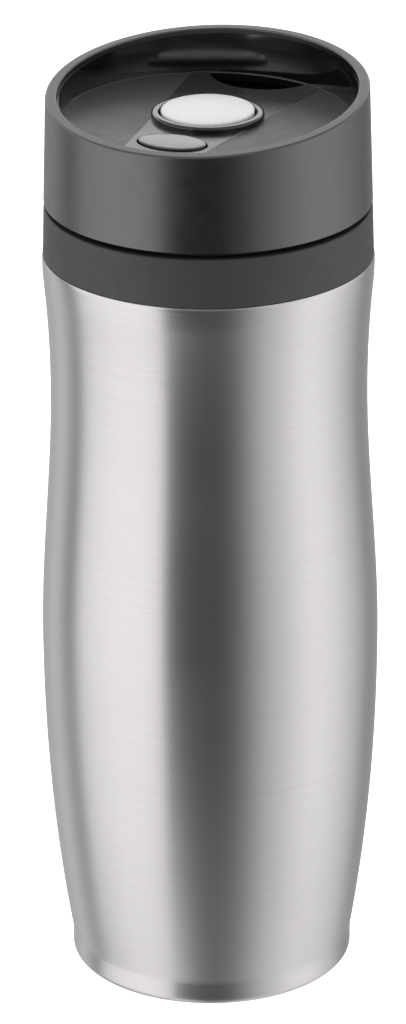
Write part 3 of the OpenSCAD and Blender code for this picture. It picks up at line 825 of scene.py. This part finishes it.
def make_key():
    """Oval key with a rounded, faintly crowned top that follows the floor, and two prongs below."""
    half_x, half_y = 7.45 * MM, 4.9 * MM
    proud = 0.7 * MM
    crown = 0.1 * MM
    edge = 0.35 * MM
    low_edge = 0.3 * MM
    low_z = FLOOR_Z - 5.1 * MM
    prong_x = 4.4 * MM
    prong_y = -20 * MM
    prong_half = 0.6 * MM

    def oval(bm, inset, height):
        """Ring of vertices at an inset from the key's outline. height is a function of the vertex's y."""
        outline = oval_outline(half_x - inset, half_y - inset, KEY_Y, 96)
        return [bm.verts.new((x, y, height(y))) for x, y in outline]

    bm = bmesh.new()
    rings = [oval(bm, low_edge, lambda y: low_z), oval(bm, 0, lambda y: low_z + low_edge)]
    for out, dz in arc(-edge, proud - crown - edge, edge, 0, 90, 6):
        rings.append(oval(bm, -out, lambda y: floor_plane(y, dz)))
    for inset in (0.8 * MM, 1.6 * MM, 2.6 * MM, 3.6 * MM, 4.6 * MM):
        dz = proud - crown * (1 - inset / half_y) ** 2
        rings.append(oval(bm, inset, lambda y: floor_plane(y, dz)))
    skin(bm, rings)
    prong_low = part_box("release_key")[0].z
    for side in (-1, 1):
        x = side * prong_x
        low = (x - prong_half, prong_y - prong_half, prong_low)
        high = (x + prong_half, prong_y + prong_half, low_z + 0.5 * MM)
        box_at(bm, low, high)
    return piece("release_button", bm, [KEY_GLOSS], "release", "key_plastic", "release_key", sharp=40)


def make_spring(name, node, centre_y, mean_r, wire_r, turns):
    """Coil with flattened end turns, which shortens towards its lower end."""
    low, high = (corner.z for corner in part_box(node))
    steps = turns * 40
    flat = 0.9 / turns
    path = []
    for i in range(steps + 1):
        t = i / steps
        climb = min(1, max(0, (t - flat) / (1 - 2 * flat)))
        z = low + wire_r + (high - low - 2 * wire_r) * climb
        theta = TURN * turns * t
        path.append(Vector((mean_r * math.cos(theta), mean_r * math.sin(theta), z)))
    bm = bmesh.new()
    tube(bm, path, wire_r)
    bmesh.ops.translate(bm, verts=bm.verts, vec=(0, centre_y, 0))
    made = piece(name, bm, [SPRING_WIRE], "lid", "spring_steel", node, sharp=60)
    made.modifiers.clear()
    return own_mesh(made)


# ---- Finishes of the CAD nodes that stay ----

CAD_FINISHES = {
    "bottom_plate": LINER_STEEL, "exhaust_seal": SOLDER, "getter_capsule": GETTER, "base_cover": BASE_STEEL,
    "bowl_seal": BOWL_SILICONE, "latch_housing": HOUSING_PLASTIC, "housing_screws": HARDWARE,
    "stem_seal": SILICONE, "latch_pin": HARDWARE, "valve_stem": HARDWARE, "valve_disc": STOPPER_PLASTIC,
    "stem_screw": HARDWARE, "latch_lever": LEVER_PLASTIC,
}


def finish_cad_nodes():
    for node, material in CAD_FINISHES.items():
        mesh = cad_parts[node].data
        mesh.materials.clear()
        mesh.materials.append(material)


# ---- Studio ----

def make_floor():
    """Pale paper just below the mug's foot."""
    gap = 0.2 * MM
    bm = bmesh.new()
    bmesh.ops.create_circle(bm, cap_ends=True, segments=96, radius=4)
    mesh = bpy.data.meshes.new("floor")
    bm.to_mesh(mesh)
    bm.free()
    floor = bpy.data.objects.new("floor", mesh)
    floor.location.z = -gap
    bpy.context.scene.collection.objects.link(floor)
    n = Nodes("floor_paper")
    colour = n.tint(n.noise(6, detail=2), grey(0.86, 0.004), grey(0.89, 0.004))
    glow = {"Emission_Color": (1, 1, 1, 1), "Emission_Strength": 1}
    mesh.materials.append(n.finish(colour, Roughness=0.9, Specular_IOR_Level=0.1, **glow))
    floor.visible_glossy = False


def make_world():
    """Soft studio: large lights left and right, a bright wall behind, and a dark gap behind the camera."""
    world = bpy.data.worlds.new("studio")
    bpy.context.scene.world = world
    world.use_nodes = True
    tree = world.node_tree
    background = tree.nodes["Background"]

    def node(kind, **settings):
        made = tree.nodes.new("ShaderNode" + kind)
        for key, value in settings.items():
            setattr(made, key, value)
        return made

    def math_node(operation, a, b=None):
        made = node("Math", operation=operation)
        for socket, value in zip(made.inputs, (a, b)):
            if isinstance(value, (int, float)):
                socket.default_value = value
            elif value is not None:
                tree.links.new(value, socket)
        return made.outputs[0]

    def ramp(value, start, end):
        """Smooth step from 0 at start to 1 at end."""
        made = node("MapRange", interpolation_type="SMOOTHSTEP")
        made.inputs["From Min"].default_value = start
        made.inputs["From Max"].default_value = end
        tree.links.new(value, made.inputs["Value"])
        return made.outputs["Result"]

    turn = node("VectorRotate", rotation_type="Z_AXIS")
    turn.inputs["Angle"].default_value = -VIEW_AZIMUTH
    tree.links.new(node("TexCoord").outputs["Generated"], turn.inputs["Vector"])
    axes = node("SeparateXYZ")
    tree.links.new(turn.outputs["Vector"], axes.inputs["Vector"])
    side = math_node("ARCTAN2", axes.outputs["X"], math_node("MULTIPLY", axes.outputs["Y"], -1))
    side = math_node("MULTIPLY", side, 180 / math.pi)
    height = math_node("MULTIPLY", math_node("ARCSINE", axes.outputs["Z"]), 180 / math.pi)

    def around(stops):
        """Brightness by azimuth, from stops (degrees, brightness). 0 is the camera and 90 is its right."""
        made = node("FloatCurve")
        curve = made.mapping.curves[0]
        top = 3
        while len(curve.points) < len(stops):
            curve.points.new(0.5, 0.5)
        for point, (degrees, brightness) in zip(curve.points, stops):
            point.location = ((degrees + 180) / 360, brightness / top)
            point.handle_type = "AUTO_CLAMPED"
        made.mapping.update()
        tree.links.new(math_node("DIVIDE", math_node("ADD", side, 180), 360), made.inputs["Value"])
        return math_node("MULTIPLY", made.outputs["Value"], top)

    def blend(low, high, share):
        made = node("Mix", data_type="FLOAT")
        tree.links.new(share, made.inputs["Factor"])
        tree.links.new(low, made.inputs["A"])
        tree.links.new(high, made.inputs["B"])
        return made.outputs["Result"]

    def level(brightness):
        made = node("Value")
        made.outputs[0].default_value = brightness
        return made.outputs[0]

    # Brightness in bands of height: below the table's edge, at its level, above it, and overhead
    low_sides = around([
        (-180, 0.5), (-134, 0.75), (-112, 0.55), (-100, 0.85), (-84, 1.15), (-68, 1.32), (-52, 1.3),
        (-38, 1.12), (-28, 0.9), (-20, 0.6), (-10, 0.38), (2, 0.3), (12, 0.32), (23, 0.4), (34, 0.58),
        (46, 0.8), (58, 0.98), (71, 1.12), (86, 1.15), (102, 1.1), (121, 1), (146, 0.9), (180, 0.5),
    ])
    sides = around([
        (-180, 0.55), (-150, 0.6), (-134, 0.85), (-120, 0.6), (-112, 0.4), (-104, 0.9), (-95, 1.35),
        (-80, 1.55), (-60, 1.65), (-44, 1.6), (-35, 1.4), (-31, 0.6), (-26, 0.2), (-18, 0.1), (0, 0.08),
        (12, 0.12), (22, 0.28), (32, 0.56), (42, 0.85), (53, 1.08), (64, 1.35), (78, 1.5), (90, 1.4),
        (104, 1.15), (121, 0.8), (146, 0.4), (180, 0.55),
    ])
    high = around([
        (-180, 2), (-150, 2), (-120, 1.4), (-90, 1.8), (-36, 1.8), (-26, 0.4), (0, 0.15), (22, 0.3),
        (42, 1.2), (90, 1.4), (120, 1.2), (150, 2), (180, 2),
    ])
    light = blend(low_sides, sides, ramp(height, -44, -27))
    light = blend(light, high, ramp(height, 8, 13))
    light = blend(light, level(0.7), ramp(height, 20, 34))
    light = blend(light, level(1), node("LightPath").outputs["Is Camera Ray"])
    tree.links.new(light, background.inputs["Strength"])
    background.inputs["Color"].default_value = (1, 1, 1, 1)


def make_camera():
    """Long lens from the photograph's side and height, aimed so that the mug fills the frame."""
    distance, height, aside = 1123.7 * MM, 583.3 * MM, 1.47 * MM
    pitch, roll = math.radians(23.04), math.radians(0.31)
    back = Vector((math.sin(VIEW_AZIMUTH), -math.cos(VIEW_AZIMUTH), 0))
    right = Vector((math.cos(VIEW_AZIMUTH), math.sin(VIEW_AZIMUTH), 0))
    data = bpy.data.cameras.new("camera")
    data.lens = 196.15
    data.sensor_width = 36
    data.clip_end = 50
    camera = bpy.data.objects.new("camera", data)
    camera.location = back * distance - right * aside + Vector((0, 0, height))
    aim = -back * math.cos(pitch) - Vector((0, 0, math.sin(pitch)))
    camera.rotation_mode = "QUATERNION"
    camera.rotation_quaternion = Quaternion(aim, roll) @ aim.to_track_quat("-Z", "Y")
    bpy.context.scene.collection.objects.link(camera)
    bpy.context.scene.camera = camera
    bpy.context.scene.view_settings.view_transform = "Standard"


make_camera()
make_world()
make_floor()
make_steel_shell()
make_liner()
make_collar()
make_casing()
make_bowl()
make_ring()
make_stopper()
make_lid_gasket()
make_valve_gasket()
make_button()
make_key()
make_spring("return_coil", "return_spring", 0, 6.6 * MM, 0.45 * MM, 7)
make_spring("release_coil", "release_spring", KEY_Y, 2.1 * MM, 0.22 * MM, 5)
finish_cad_nodes()
